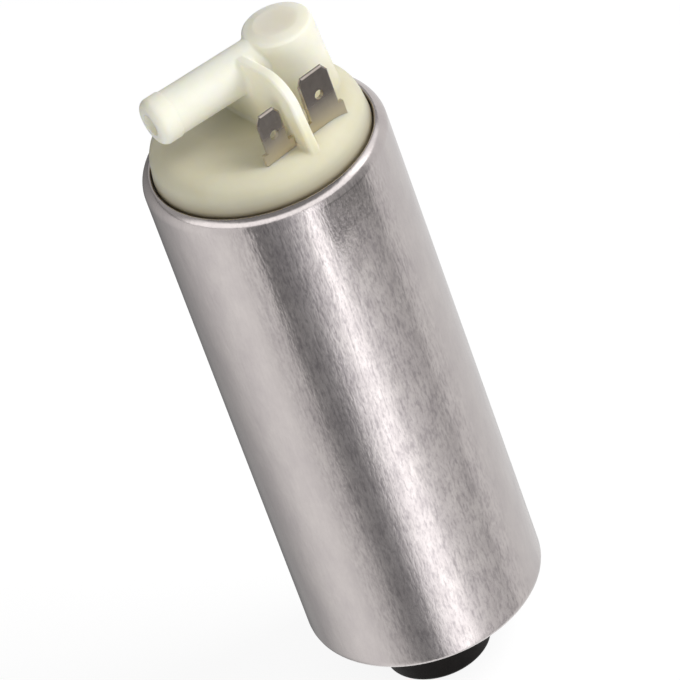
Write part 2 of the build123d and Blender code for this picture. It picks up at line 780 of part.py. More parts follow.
def outlet_cover():
    """Moulded end cover with the nozzle, valve tower and rib, hollowed for what it carries."""
    top = blend(blend(rib(), nozzle(), web_round), tower(), joint_round)
    body = blend(dome(), top, foot_round)
    body -= cylinder(valve_bore, cover_under, valve_bore_top, tower_x, tower_y)
    body -= on_nozzle(cylinder(nozzle_bore, 0, nozzle_reach))
    body -= cylinder(bearing_radius, cover_under, bearing_top)
    body -= cylinder(shaft_radius + coupling_lift, cover_under, shaft_top + end_play)
    body -= seal_groove(cover_under + upper_seal_height)
    for side in (-1, 1):
        body -= brush_bore(side)
    for x in (choke_narrow_x, wide_x):
        body -= cylinder(choke_pocket_radius, cover_under, brush_bore_top, x, choke_y)
    for insert in (strip_narrow(), strip_wide(), terminal(wide_x, wide_blade, wide_height),
                   terminal(narrow_x, narrow_blade, narrow_height)):
        body -= insert
    return body


models = {
    "shell": shell(),
    "outlet_cover": outlet_cover(),
    "terminal_wide": terminal(wide_x, wide_blade, wide_height),
    "terminal_narrow": terminal(narrow_x, narrow_blade, narrow_height),
    "check_valve_seat": check_valve_seat(),
    "check_valve_poppet": check_valve_poppet(),
    "check_valve_spring": check_valve_spring(),
    "upper_seal": seal_ring(cover_under + upper_seal_height),
    "upper_bearing": bearing(cover_under, bearing_top),
    "brush_front": brush(-1),
    "brush_rear": brush(1),
    "brush_spring_front": brush_spring(-1),
    "brush_spring_rear": brush_spring(1),
    "brush_lead_front": brush_lead(-1),
    "brush_lead_rear": brush_lead(1),
    "conductor_narrow": strip_narrow(),
    "conductor_wide": strip_wide(),
    "choke_core_narrow": choke_core(choke_narrow_x),
    "choke_core_wide": choke_core(wide_x),
    "choke_coil_narrow": choke_coil(choke_narrow_x),
    "choke_coil_wide": choke_coil(wide_x),
    "armature_shaft": armature_shaft(),
    "armature_core": core_layer(core_bottom, core_top - core_bottom),
    "core_insulator_lower": core_layer(core_bottom - insulator_thickness, insulator_thickness),
    "core_insulator_upper": core_layer(core_top, insulator_thickness),
    "armature_windings": armature_windings(),
    "commutator_hub": tube(commutator_radius, shaft_radius, commutator_base,
                           commutator_base + commutator_hub_height),
    "commutator_segments": commutator_segments(),
    "flux_ring": tube(stack_radius, flux_inner, plate_top, skirt_bottom),
    "magnet_left": magnet(180),
    "magnet_right": magnet(0),
    "magnet_clip_front": magnet_clip(-90),
    "magnet_clip_rear": magnet_clip(90),
    "lower_bearing": bearing(lower_bearing_bottom, lower_bearing_top),
    "pump_plate": pump_plate(),
    "drive_coupling": drive_coupling(),
    "inner_rotor": inner_rotor(),
    "outer_rotor": outer_rotor(),
    "pump_ring": pump_ring(),
    "pump_screws": Compound(children=pump_screws()),
    "thrust_pad": cylinder(shaft_radius + shaft_play, disc_top - thrust_depth,
                           disc_top - thrust_depth + thrust_pad_thickness),
    "lower_seal": seal_ring(disc_bottom + seal_height),
    "relief_seat": relief_seat(),
    "relief_ball": relief_ball(),
    "relief_spring": relief_spring(),
    "inlet_cover": inlet_cover(),
}

os.makedirs("parts", exist_ok=True)
for name, shape in models.items():
    export_step(shape, "parts/" + name + ".step")
    print(name, len(shape.solids()), "solids")
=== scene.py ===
import json
import math
import bmesh
import bpy
import numpy as np
from mathutils import Matrix, Vector


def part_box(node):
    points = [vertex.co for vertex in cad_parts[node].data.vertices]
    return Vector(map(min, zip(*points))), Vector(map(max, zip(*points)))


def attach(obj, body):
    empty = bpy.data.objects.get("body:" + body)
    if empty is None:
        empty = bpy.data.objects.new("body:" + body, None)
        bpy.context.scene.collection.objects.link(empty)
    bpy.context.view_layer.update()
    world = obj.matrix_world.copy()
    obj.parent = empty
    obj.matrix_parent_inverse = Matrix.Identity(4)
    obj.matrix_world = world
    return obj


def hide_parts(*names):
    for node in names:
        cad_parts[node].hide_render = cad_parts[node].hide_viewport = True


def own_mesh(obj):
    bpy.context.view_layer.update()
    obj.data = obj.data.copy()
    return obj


# Fuel pump: zinc plated shell, cream end cover with nozzle, tower and rib, blade terminals and a
# black inlet neck, with the motor and the pump inside. Lengths in the dictionaries are in
# millimetres and angles in degrees where no note says otherwise, and mm turns a length into the
# scene's metres.
mm = 0.001
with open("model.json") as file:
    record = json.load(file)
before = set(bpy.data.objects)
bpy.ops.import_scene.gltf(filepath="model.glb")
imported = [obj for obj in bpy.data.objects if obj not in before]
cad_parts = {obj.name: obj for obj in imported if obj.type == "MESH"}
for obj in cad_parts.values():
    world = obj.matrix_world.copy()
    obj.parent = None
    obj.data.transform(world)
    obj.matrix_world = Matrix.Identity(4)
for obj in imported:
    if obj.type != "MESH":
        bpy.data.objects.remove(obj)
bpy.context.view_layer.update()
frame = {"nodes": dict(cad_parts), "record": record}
nodes = frame["nodes"]
scene = bpy.context.scene
scene.view_settings.view_transform = "Standard"
print("frame loaded:", len(nodes), "nodes")


def added(name, data):
    # a new object in the scene
    thing = bpy.data.objects.new(name, data)
    scene.collection.objects.link(thing)
    return thing


def facing(azimuth, elevation):
    # direction from the pump to a viewer: (sin a cos e, -cos a cos e, sin e)
    a, e = math.radians(azimuth), math.radians(elevation)
    return Vector((math.sin(a) * math.cos(e), -math.cos(a) * math.cos(e), math.sin(e)))


# Camera: the photograph's view, turned round its own axis so that the pump leans to the left
cameraView = dict(azimuth=-26.5, elevation=36.5, roll=-20.33, distance=1180.0, focalPixels=6860.0,
                  framePixels=680.0, sensor=36.0, aimHeight=63.0, offset=(-1.06, 5.5),
                  nearest=50.0, farthest=20000.0)
aim = Vector((0, 0, cameraView["aimHeight"] * mm))


def makeCamera(c):
    azimuth, roll = math.radians(c["azimuth"]), math.radians(c["roll"])
    back = facing(c["azimuth"], c["elevation"])
    level = Vector((math.cos(azimuth), math.sin(azimuth), 0))
    rise = back.cross(level)
    right = level * math.cos(roll) + rise * math.sin(roll)
    up = rise * math.cos(roll) - level * math.sin(roll)
    data = bpy.data.cameras.new("photoCamera")
    data.sensor_width = c["sensor"]
    data.lens = c["sensor"] * c["focalPixels"] / c["framePixels"]
    data.clip_start = c["nearest"] * mm
    data.clip_end = c["farthest"] * mm
    place = back * c["distance"] + right * c["offset"][0] + up * c["offset"][1]
    turn = Matrix((right, up, back)).transposed().to_4x4()
    scene.camera = added("photoCamera", data)
    scene.camera.matrix_world = Matrix.Translation(place * mm + aim) @ turn


makeCamera(cameraView)
print("camera placed")


# Mesh helpers
pathSide = (0.31, 0.17, 0.93)  # no tube starts out along this direction


def gridFaces(rows, columns, wrapRows=False, wrapColumns=False):
    # quads of a grid of points, row by row, closed on itself where it wraps
    i, j = np.meshgrid(np.arange(rows if wrapRows else rows - 1),
                       np.arange(columns if wrapColumns else columns - 1), indexing="ij")
    nextRow, nextColumn = (i + 1) % rows * columns, (j + 1) % columns
    row = i * columns
    corners = [row + j, nextRow + j, nextRow + nextColumn, row + nextColumn]
    return np.stack(corners, -1).reshape(-1, 4)


def meshFrom(name, grids, sharp=60.0):
    # grids are (points, wrapRows, wrapColumns); an open tube gets a flat face at each end
    places, faces, first = [], [], 0
    for points, wrapRows, wrapColumns in grids:
        rows, columns = points.shape[:2]
        faces += (gridFaces(rows, columns, wrapRows, wrapColumns) + first).tolist()
        if wrapColumns and not wrapRows:
            faces += [(first + np.arange(columns)).tolist(),
                      (first + (rows - 1) * columns + np.arange(columns)[::-1]).tolist()]
        places.append(points.reshape(-1, 3) * mm)
        first += rows * columns
    mesh = bpy.data.meshes.new(name)
    mesh.from_pydata(np.concatenate(places).tolist(), [], faces)
    mesh.validate()
    shape = bmesh.new()
    shape.from_mesh(mesh)
    bmesh.ops.recalc_face_normals(shape, faces=shape.faces)
    shape.to_mesh(mesh)
    shape.free()
    mesh.shade_smooth()
    mesh.set_sharp_from_angle(angle=math.radians(sharp))
    return mesh


def addPiece(mesh, body, slot, replaced=()):
    # a piece that rides on a body, wears a slot's finish and shows in place of the replaced nodes
    piece = added(mesh.name, mesh)
    mesh.materials.append(finishes[slot])
    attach(piece, body)
    if replaced:
        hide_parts(*replaced)
    return piece


def circling(centre, radius, angle, z):
    # x = cx + r cos a, y = cy + r sin a, beside z
    return np.stack([centre[0] + radius * np.cos(angle), centre[1] + radius * np.sin(angle), z], -1)


def tubeAlong(path, radius, sides=10, closed=False):
    # a circle carried along a path: centre + radius * (cos side + sin other), where the two
    # directions turn only as much as the path does
    ahead = np.roll(path, -1, 0) - np.roll(path, 1, 0)
    if not closed:
        ahead[0], ahead[-1] = path[1] - path[0], path[-1] - path[-2]
    ahead /= np.linalg.norm(ahead, axis=1)[:, None]
    side = np.cross(ahead[0], pathSide)
    turns = np.linspace(0, 2 * math.pi, sides, endpoint=False)
    rings = []
    for centre, direction in zip(path, ahead):
        side = side - direction * side.dot(direction)
        side = side / np.linalg.norm(side)
        other = np.cross(direction, side)
        circle = np.outer(np.cos(turns), side) + np.outer(np.sin(turns), other)
        rings.append(centre + radius * circle)
    return np.array(rings), closed, True


def ringAround(radii, heights, columns, wave=None):
    # a closed section turned about Z, where wave(a) adds to each row's radius at each angle
    angles = np.linspace(0, 2 * math.pi, columns, endpoint=False)
    r = np.array(radii)[:, None] + (0 if wave is None else wave(angles))
    return circling((0, 0), r, angles, np.array(heights)[:, None] + 0 * angles), True, True


def roundedSection(corners, steps):
    # corners are (r, z, rounding); each rounded one becomes an arc that touches both its sides
    section = []
    for k, (r, z, rounding) in enumerate(corners):
        corner = np.array((r, z))
        if rounding == 0:
            section.append(corner)
            continue
        before = np.array(corners[k - 1][:2]) - corner
        after = np.array(corners[(k + 1) % len(corners)][:2]) - corner
        before, after = before / np.linalg.norm(before), after / np.linalg.norm(after)
        half = math.acos(before.dot(after)) / 2
        inward = (before + after) / np.linalg.norm(before + after)
        middle = corner + inward * rounding / math.sin(half)
        first = before * rounding / math.tan(half) + corner - middle
        last = after * rounding / math.tan(half) + corner - middle
        span = math.acos(first.dot(last) / rounding ** 2)
        for t in np.linspace(0, 1, steps):
            turned = first * math.sin((1 - t) * span) + last * math.sin(t * span)
            section.append(middle + turned / math.sin(span))
    return np.array(section)


# Node helpers
def setInputs(tree, node, inputs):
    # each input takes a constant or another node's output
    for socket, value in inputs.items():
        if isinstance(value, bpy.types.NodeSocket):
            tree.links.new(value, node.inputs[socket])
        else:
            node.inputs[socket].default_value = value
    return node


def addNode(tree, kind, inputs, operation=None):
    node = tree.nodes.new("ShaderNode" + kind)
    if operation:
        node.operation = operation
    return setInputs(tree, node, inputs)


def maths(tree, operation, *values):
    # one sum or product of numbers and outputs
    return addNode(tree, "Math", dict(enumerate(values)), operation).outputs[0]


def alongAxis(tree, place, axis):
    # the dot product with an axis
    return addNode(tree, "VectorMath", {0: place, 1: axis}, "DOT_PRODUCT").outputs["Value"]


def addRamp(tree, value, stops):
    # stops are (place, colour) or (place, grey level)
    node = addNode(tree, "ValToRGB", {"Fac": value})
    for k, (place, color) in enumerate(stops):
        elements = node.color_ramp.elements  # a new ramp has two
        stop = elements[k] if k < 2 else elements.new(place)
        stop.position = place
        grey = isinstance(color, (int, float))
        stop.color = (color, color, color, 1) if grey else (*color, 1)
    return node.outputs["Color"]


def nodeMaterial(name):
    material = bpy.data.materials.new(name)
    material.use_nodes = True
    return material, material.node_tree


# Finishes: every pattern reads Object coordinates, which are in metres
upward = (0, 0, 1)
noiseSpread = (0.3, 0.7)  # most of a noise's values lie between these


class Finish:
    def __init__(self, name, constants):
        # constants are by the shader's own names for its inputs
        self.material, self.tree = nodeMaterial(name)
        self.shader = setInputs(self.tree, self.tree.nodes["Principled BSDF"], constants)
        self.place = addNode(self.tree, "TexCoord", {}).outputs["Object"]
        self.lastBump = None

    def noise(self, size, detail=3.0, rough=0.55, stretch=(1, 1, 1), move=(0, 0, 0)):
        # size is the grain in millimetres, before the stretch
        place = addNode(self.tree, "Mapping", {
            "Vector": self.place, "Scale": stretch, "Location": move}).outputs["Vector"]
        return addNode(self.tree, "TexNoise", {
            "Vector": place, "Scale": 1 / (size * mm), "Detail": detail,
            "Roughness": rough}).outputs["Fac"]

    def mapped(self, value, given, wanted=(0.0, 1.0)):
        # carries the given range to the wanted one and stops at its ends
        return addNode(self.tree, "MapRange", {
            "Value": value, "From Min": given[0], "From Max": given[1], "To Min": wanted[0],
            "To Max": wanted[1]}).outputs["Result"]

    def between(self, value, ends, wanted=(0.0, 1.0)):
        # the same for a distance, whose two ends are in millimetres
        return self.mapped(value, [end * mm for end in ends], wanted)

    def along(self, axis):
        # how far a place lies along an axis from the origin, in metres
        return alongAxis(self.tree, self.place, axis)

    def apart(self, point):
        # the distance from a point in millimetres, in metres
        ends = {0: self.place, 1: [value * mm for value in point]}
        return addNode(self.tree, "VectorMath", ends, "DISTANCE").outputs["Value"]

    def ramp(self, value, stops):
        return addRamp(self.tree, value, stops)

    def shades(self, noise, colors):
        # from a darker colour to a paler one over a noise's spread
        return self.ramp(noise, list(zip(noiseSpread, colors)))

    def mixed(self, first, second, share, mode="MIX"):
        node = addNode(self.tree, "Mix", {})
        node.data_type, node.blend_type = "RGBA", mode
        first, second = [(*c, 1) if isinstance(c, tuple) else c for c in (first, second)]
        return setInputs(self.tree, node, {0: share, 6: first, 7: second}).outputs[2]

    def times(self, first, second, share=1.0):
        return self.mixed(first, second, share, "MULTIPLY")

    def bump(self, height, depth):
        # depth is the relief between black and white, in millimetres
        below = {"Normal": self.lastBump} if self.lastBump else {}
        node = addNode(self.tree, "Bump", {"Height": height, "Distance": depth * mm, **below})
        self.lastBump = node.outputs["Normal"]

    def done(self, color, roughness):
        # links what is mixed so far to the shader
        setInputs(self.tree, self.shader, {
            "Base Color": color, "Roughness": roughness, "Normal": self.lastBump})
        return self.material


# Bright zinc on drawn steel: long drawing streaks and short dashes in the relief, which break up
# what the metal mirrors, over a faint cloud of warmer and cooler metal. The dashes are plainest on
# the front, and the rolled rim has few.
zinc = dict(
    streak=dict(size=0.9, stretch=(1, 1, 0.07)),
    longDash=dict(size=0.55, stretch=(1, 1, 0.14), move=(0.3, 0.1, 0.2)),
    shortDash=dict(size=0.42, detail=2, stretch=(1, 1, 0.36), move=(0.2, 0.3, 0.1)), shortShare=0.5,
    blotch=dict(size=2.4, stretch=(1, 1, 0.5), move=(0.1, 0.4, 0.3)),
    cloud=dict(size=5.0, detail=5, rough=0.6, stretch=(1, 1, 0.6)),
    colors=((0.612, 0.560, 0.552), (0.692, 0.638, 0.618)),
    front=(-0.25, -0.97, 0), frontReach=(15.8, 18.8), frontShare=(0.1, 1.0),
    rimReach=(112.2, 113.4), rimShare=(1.0, 0.15),
    blotchColors=((0.35, (0.88, 0.875, 0.88)), (0.6, 1.0)),
    dashColors=((0.36, (0.70, 0.695, 0.712)), (0.54, 1.0)), plain=(0.5, 0.5, 0.5),
    roughness=(0.13, 0.21), depths=dict(streak=0.014, dash=0.045, blotch=0.030, cloud=0.03))


def zincFinish(c):
    f = Finish("zincPlate", {"Metallic": 1.0})
    streak, blotch, cloud = (f.noise(**c[key]) for key in ("streak", "blotch", "cloud"))
    dash = f.mixed(f.noise(**c["longDash"]), f.noise(**c["shortDash"]), c["shortShare"])
    front = f.between(f.along(c["front"]), c["frontReach"], c["frontShare"])
    calm = f.between(f.along(upward), c["rimReach"], c["rimShare"])
    strength = f.times(front, calm)
    patchy = f.mixed(c["plain"], dash, strength)
    dulled = f.times(f.shades(cloud, c["colors"]), f.ramp(blotch, c["blotchColors"]), strength)
    color = f.times(dulled, f.ramp(patchy, c["dashColors"]))
    for key, height in dict(streak=streak, dash=patchy, blotch=blotch, cloud=cloud).items():
        f.bump(height, c["depths"][key])
    return f.done(color, f.mapped(streak, noiseSpread, c["roughness"]))


# Natural acetal: cream, waxy and see-through, with faint flow clouds and a fine mould grain.
# Painted shade darkens the cream towards the foot of the cover, in the groove by the rim and over
# the dome, and paler paint higher up lights the tower and nozzle. Two places get painted shade as
# well: the middle of the tower's roof, over the valve's bore, and the corner of nozzle, rib and
# tower.
pom = dict(
    bend=1.48, glow=0.7, glowReach=3.0, glowColor=(1.0, 0.85, 0.45),
    cloud=dict(size=9.0, detail=4), colors=((0.88, 0.845, 0.665), (0.94, 0.91, 0.745)),
    # painted shade by height: the cream is darkest at the foot of the cover, by the rim, and palest
    # up on the tower
    heightShadeReach=(113.0, 127.0),
    lift=((0.07, (0.22, 0.19, 0.15)), (0.12, (0.48, 0.445, 0.39)), (0.2, (0.62, 0.61, 0.58)),
          (0.3, (0.72, 0.715, 0.68)), (0.5, (0.82, 0.81, 0.77)), (0.8, (0.91, 0.905, 0.90)),
          (1.0, (1.02, 1.02, 1.09))),
    # painted shade: over the bore in the middle of the tower's roof, and in the corner under the
    # nozzle by rib and tower
    darker=(dict(point=(9.4, -1.65, 134.4), reach=(2.6, 5.6), color=(0.90, 0.875, 0.86)),
            dict(point=(1.0, 3.5, 120.5), reach=(3.0, 9.5), color=(0.64, 0.64, 0.58))),
    sheen=dict(size=2.2, detail=4), roughness=(0.38, 0.50),
    grain=dict(size=0.35, detail=2), grainDepth=0.004,
    swell=dict(size=5.0, detail=2), swellDepth=0.02)


def pomFinish(c):
    f = Finish("naturalPom", {
        "IOR": c["bend"], "Subsurface Weight": c["glow"], "Subsurface Radius": c["glowColor"],
        "Subsurface Scale": c["glowReach"] * mm})
    # painted shade and light by height, from the foot of the cover to the top of the tower
    height = f.between(f.along(upward), c["heightShadeReach"])
    color = f.times(f.shades(f.noise(**c["cloud"]), c["colors"]), f.ramp(height, c["lift"]))
    # painted shade at these two places, faded out with the distance from each point
    for shadeSpot in c["darker"]:
        clear = f.between(f.apart(shadeSpot["point"]), shadeSpot["reach"])
        color = f.times(color, f.ramp(clear, [(0.0, shadeSpot["color"]), (1.0, 1.0)]))
    f.bump(f.noise(**c["grain"]), c["grainDepth"])
    f.bump(f.noise(**c["swell"]), c["swellDepth"])
    return f.done(color, f.mapped(f.noise(**c["sheen"]), noiseSpread, c["roughness"]))


# Black acetal of the inlet cover: nearly even, with a faint sheen and a fine mould grain
blackPom = dict(cloud=dict(size=4.0), colors=((0.006, 0.005, 0.005), (0.011, 0.009, 0.008)),
                sheen=dict(size=1.5), roughness=(0.40, 0.52), grain=dict(size=0.4, detail=2),
                depth=0.004, mirror=0.1)


def blackPomFinish(c):
    f = Finish("blackPom", {"Specular IOR Level": c["mirror"]})
    f.bump(f.noise(**c["grain"]), c["depth"])
    return f.done(f.shades(f.noise(**c["cloud"]), c["colors"]),
                  f.mapped(f.noise(**c["sheen"]), noiseSpread, c["roughness"]))


# Tin on a stamped blade: grey-brown and smooth, with fine rolling lines and slow stains. Towards
# the foot, where the blade leaves the cover, it turns to a paler, duller brass colour, which is
# painted light
tin = dict(line=dict(size=0.5, stretch=(1, 1, 0.06)), lineColors=(0.90, 1.0), lineDepth=0.002,
           stain=dict(size=2.4, detail=4, move=(0.2, 0.5, 0.1)),
           colors=((0.34, 0.295, 0.265), (0.42, 0.375, 0.34)),
           # the brass colour at the foot is painted light on the lower blade
           brass=(0.66, 0.585, 0.43), brassReach=(120.6, 125.4), roughness=(0.22, 0.6))


def tinFinish(c):
    f = Finish("tinPlate", {"Metallic": 1.0})
    line, stain = f.noise(**c["line"]), f.noise(**c["stain"])
    plated = f.times(f.shades(stain, c["colors"]), f.shades(line, c["lineColors"]))
    # painted light: the blade turns to the paler brass colour towards its foot, and rougher there
    # too
    paintedLitFoot = f.between(f.along(upward), c["brassReach"], (1.0, 0.0))
    f.bump(line, c["lineDepth"])
    return f.done(f.mixed(plated, c["brass"], paintedLitFoot), f.mapped(paintedLitFoot, (0.0, 1.0), c["roughness"]))


# Finishes inside: one recipe, with each metal's or plastic's own grain
insideFinishes = dict(
    spring_steel=dict(colors=((0.42, 0.42, 0.44), (0.58, 0.58, 0.60)), rough=(0.22, 0.34),
                      grain=0.3, depth=0.003),
    valve_rubber=dict(colors=((0.10, 0.05, 0.03), (0.15, 0.08, 0.05)), rough=(0.55, 0.7),
                      grain=0.5, depth=0.006, metallic=0.0),
    seal_rubber=dict(colors=((0.018, 0.018, 0.018), (0.035, 0.034, 0.033)), rough=(0.45, 0.6),
                     grain=0.4, depth=0.004, metallic=0.0),
    sintered_bronze=dict(colors=((0.40, 0.25, 0.11), (0.62, 0.42, 0.20)), rough=(0.40, 0.55),
                         grain=0.18, depth=0.02),
    carbon=dict(colors=((0.030, 0.030, 0.032), (0.065, 0.064, 0.066)), rough=(0.5, 0.65),
                grain=0.25, depth=0.012, metallic=0.0),
    copper=dict(colors=((0.62, 0.27, 0.12), (0.80, 0.42, 0.22)), rough=(0.22, 0.36),
                grain=0.6, depth=0.004),
    contact_brass=dict(colors=((0.66, 0.48, 0.18), (0.80, 0.62, 0.28)), rough=(0.25, 0.38),
                       grain=0.5, depth=0.004, stretch=(0.1, 1, 1)),
    ferrite=dict(colors=((0.040, 0.040, 0.044), (0.085, 0.084, 0.088)), rough=(0.42, 0.58),
                 grain=0.4, depth=0.012, metallic=0.0),
    lamination_steel=dict(colors=((0.24, 0.24, 0.26), (0.38, 0.38, 0.40)), rough=(0.35, 0.5),
                          grain=0.5, depth=0.02, stretch=(0.05, 0.05, 1)),
    ground_steel=dict(colors=((0.56, 0.56, 0.57), (0.72, 0.72, 0.73)), rough=(0.14, 0.24),
                      grain=0.3, depth=0.003, stretch=(0.05, 0.05, 1)),
    insulator=dict(colors=((0.03, 0.14, 0.10), (0.05, 0.20, 0.14)), rough=(0.4, 0.52),
                   grain=0.8, depth=0.006, metallic=0.0),
    phenolic=dict(colors=((0.10, 0.035, 0.018), (0.17, 0.07, 0.035)), rough=(0.35, 0.5),
                  grain=0.5, depth=0.008, metallic=0.0),
    sintered_steel=dict(colors=((0.22, 0.22, 0.225), (0.36, 0.355, 0.35)), rough=(0.34, 0.48),
                        grain=0.16, depth=0.015),
    screw_steel=dict(colors=((0.05, 0.05, 0.052), (0.11, 0.11, 0.112)), rough=(0.34, 0.48),
                     grain=0.4, depth=0.005),
    ball_steel=dict(colors=((0.66, 0.66, 0.67), (0.74, 0.74, 0.75)), rough=(0.05, 0.09),
                    grain=0.8, depth=0.0005),
)
insideNoise = dict(detail=4, cloudSize=9, cloudMove=(0.4, 0.2, 0.7), cloudShare=0.5,
                   spread=(0.35, 0.65))


def insideFinish(name, colors, rough, grain, depth, metallic=1.0, stretch=(1, 1, 1)):
    # a fine grain, and a cloud whose size is that many grains
    c = insideNoise
    f = Finish(name, {"Metallic": metallic})
    fine = f.noise(grain, c["detail"], stretch=stretch)
    cloud = f.noise(grain * c["cloudSize"], move=c["cloudMove"])
    f.bump(fine, depth)
    color = f.ramp(f.mixed(fine, cloud, c["cloudShare"]), list(zip(c["spread"], colors)))
    return f.done(color, f.mapped(cloud, noiseSpread, rough))


finishes = {name: insideFinish(name, **recipe) for name, recipe in insideFinishes.items()}
finishes.update(zinc_steel=zincFinish(zinc), natural_pom=pomFinish(pom),
                black_plastic=blackPomFinish(blackPom), tinned_brass=tinFinish(tin))
for part in frame["record"]["subparts"]:
    mesh = nodes[part["node"]].data
    mesh.materials.clear()
    mesh.materials.append(finishes[part["material_slot"]])
print("finishes made:", len(finishes))


def nodeBox(node):
    # a node's lowest and highest corners, in millimetres
    return [np.array(corner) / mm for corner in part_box(node)]


# Shell: drawn tube whose ends are spun in over the covers, with the roller's slight waves in both
# lips, which are counted round the lip
shellShape = dict(wall=1.2, topLip=2.05, bottomLip=4.5, corner=2.6, edge=0.4, columns=360,
                  arcSteps=14, cornerSteps=9, waveDepth=0.03, waves=(3, 7, 19), sharp=50.0)


def makeShell(c):
    low, high = nodeBox("shell")
    outer = high[0]
    bore = outer - c["wall"]
    topEdge, bottomEdge = outer - c["topLip"], outer - c["bottomLip"]
    # top lip: an arc of the corner's radius up the outside, and inside it the small arc that ends
    # the lip; the two touch where both have turned by the same angle
    small = (topEdge + c["edge"], high[2] - c["edge"])
    apart = c["corner"] - c["edge"]
    turn = math.acos((small[0] - (outer - c["corner"])) / apart)
    roll = (outer - c["corner"], small[1] - apart * math.sin(turn))

    def arc(centre, radius, start, end):
        # centre + radius * (cos a, sin a)
        return [(centre[0] + radius * math.cos(a), centre[1] + radius * math.sin(a), 0)
                for a in np.linspace(start, end, c["arcSteps"])]

    section = roundedSection([
        (bottomEdge, low[2], c["edge"]), (outer, low[2], c["corner"]),
        *arc(roll, c["corner"], 0, turn), *arc(small, c["edge"], turn, math.pi)[1:],
        (topEdge, high[2] - c["wall"], 0), (bore, high[2] - c["wall"], 0),
        (bore, low[2] + c["wall"], 0), (bottomEdge, low[2] + c["wall"], 0)], c["cornerSteps"])
    radii, heights = section.T
    # waves where the lips end, none on the tube: depth * (the sum of cos(n a + n n), less one)
    lip = np.clip((bore - radii) / c["wall"], 0, 1)

    def wave(angles):
        swell = sum(np.cos(n * angles + n * n) for n in c["waves"]) - 1
        return c["waveDepth"] * np.outer(lip, swell)

    ring = ringAround(radii, heights, c["columns"], wave)
    addPiece(meshFrom("shellTube", [ring], c["sharp"]), "housing", "zinc_steel", ["shell"])


# Springs: round wire whose end turns lie closed
springs = dict(
    check_valve_spring=dict(
        radius=0.28, turns=7.0, joint="check_valve_lift", fixedZ=132.0, keep=0.806),
    relief_spring=dict(radius=0.22, turns=5.0, joint="relief_valve_lift", fixedZ=15.2, keep=0.785),
    brush_spring_front=dict(
        radius=0.2, turns=7.5, joint="brush_front_slide", fixedZ=116.5, keep=0.71),
    brush_spring_rear=dict(
        radius=0.2, turns=7.5, joint="brush_rear_slide", fixedZ=116.5, keep=0.71),
)
springSteps = 28  # in a turn


def shortens(piece):
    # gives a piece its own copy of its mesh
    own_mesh(piece)


def makeSpring(node, c):
    # a helix: z rises by one wire in each end turn and evenly between them
    low, high = nodeBox(node)
    centre, wire = (low + high) / 2, 2 * c["radius"]
    coil = (high[0] - low[0]) / 2 - c["radius"]
    rise = high[2] - low[2] - wire
    t = np.linspace(0, c["turns"], int(c["turns"] * springSteps))
    z = low[2] + c["radius"] + np.interp(
        t, [0, 1, c["turns"] - 1, c["turns"]], [0, wire, rise - wire, rise])
    tube = tubeAlong(circling(centre, coil, 2 * math.pi * t, z), c["radius"])
    piece = addPiece(meshFrom(node + "_wire", [tube]), "housing", "spring_steel", [node])
    shortens(piece)


# Brush leads: strands twisted inside the springs
leads = dict(
    brush_lead_front=dict(joint="brush_front_slide", fixedZ=116.5, keep=0.71),
    brush_lead_rear=dict(joint="brush_rear_slide", fixedZ=116.5, keep=0.71),
)
leadStrands = dict(count=3, radius=0.23, pitch=2.2, points=70)


def makeLead(node, s):
    # each strand is a helix, turned by an equal share from the next
    low, high = nodeBox(node)
    coil = (high[0] - low[0]) / 2 - s["radius"]
    z = np.linspace(low[2], high[2], s["points"])
    strands = []
    for k in range(s["count"]):
        angle = 2 * math.pi * (z / s["pitch"] + k / s["count"])
        strands.append(tubeAlong(circling((low + high) / 2, coil, angle, z), s["radius"]))
    piece = addPiece(meshFrom(node + "_strands", strands), "housing", "copper", [node])
    shortens(piece)


# Seal rings: rubber cord pressed flat against the shell's bore, with the mould's flash line
# round it
sealShape = dict(flash=0.03, flashWidth=0.12, pressed=0.93, columns=240, sides=36)


def makeSeal(node, c):
    # section: r = s cos a, z = s sin a, where s has a small ridge at a = 90 and 270 degrees
    low, high = nodeBox(node)
    half = (high[2] - low[2]) / 2
    a = np.linspace(0, 2 * math.pi, c["sides"], endpoint=False)
    ridge = np.exp(-((np.abs(np.sin(a)) - 1) / c["flashWidth"]) ** 2)
    s = half * (1 - c["flash"] + c["flash"] * ridge)
    radii = high[0] - half + np.minimum(s * np.cos(a), half * c["pressed"])
    heights = (low[2] + high[2]) / 2 + s * np.sin(a)
    ring = ringAround(radii, heights, c["columns"])
    addPiece(meshFrom(node + "_ring", [ring]), "housing", "seal_rubber", [node])


# Armature winding: eight coils of six wires, each going up one slot and down the third one after
# it. Each has an outer and an inner row of wires, and a wire's go side lies outside its back side.
winding = dict(slots=8, pitch=3, radius=0.46, goRadii=(10.3, 11.7), backRadii=(7.8, 9.1),
               columns=(-1, 0, 1), goSpread=1.15, backSpread=0.95, crownLow=1.0, crownStep=0.52,
               crownPull=0.16, rowLift=0.45, innermost=7.3, straight=8, arc=26, sides=8)


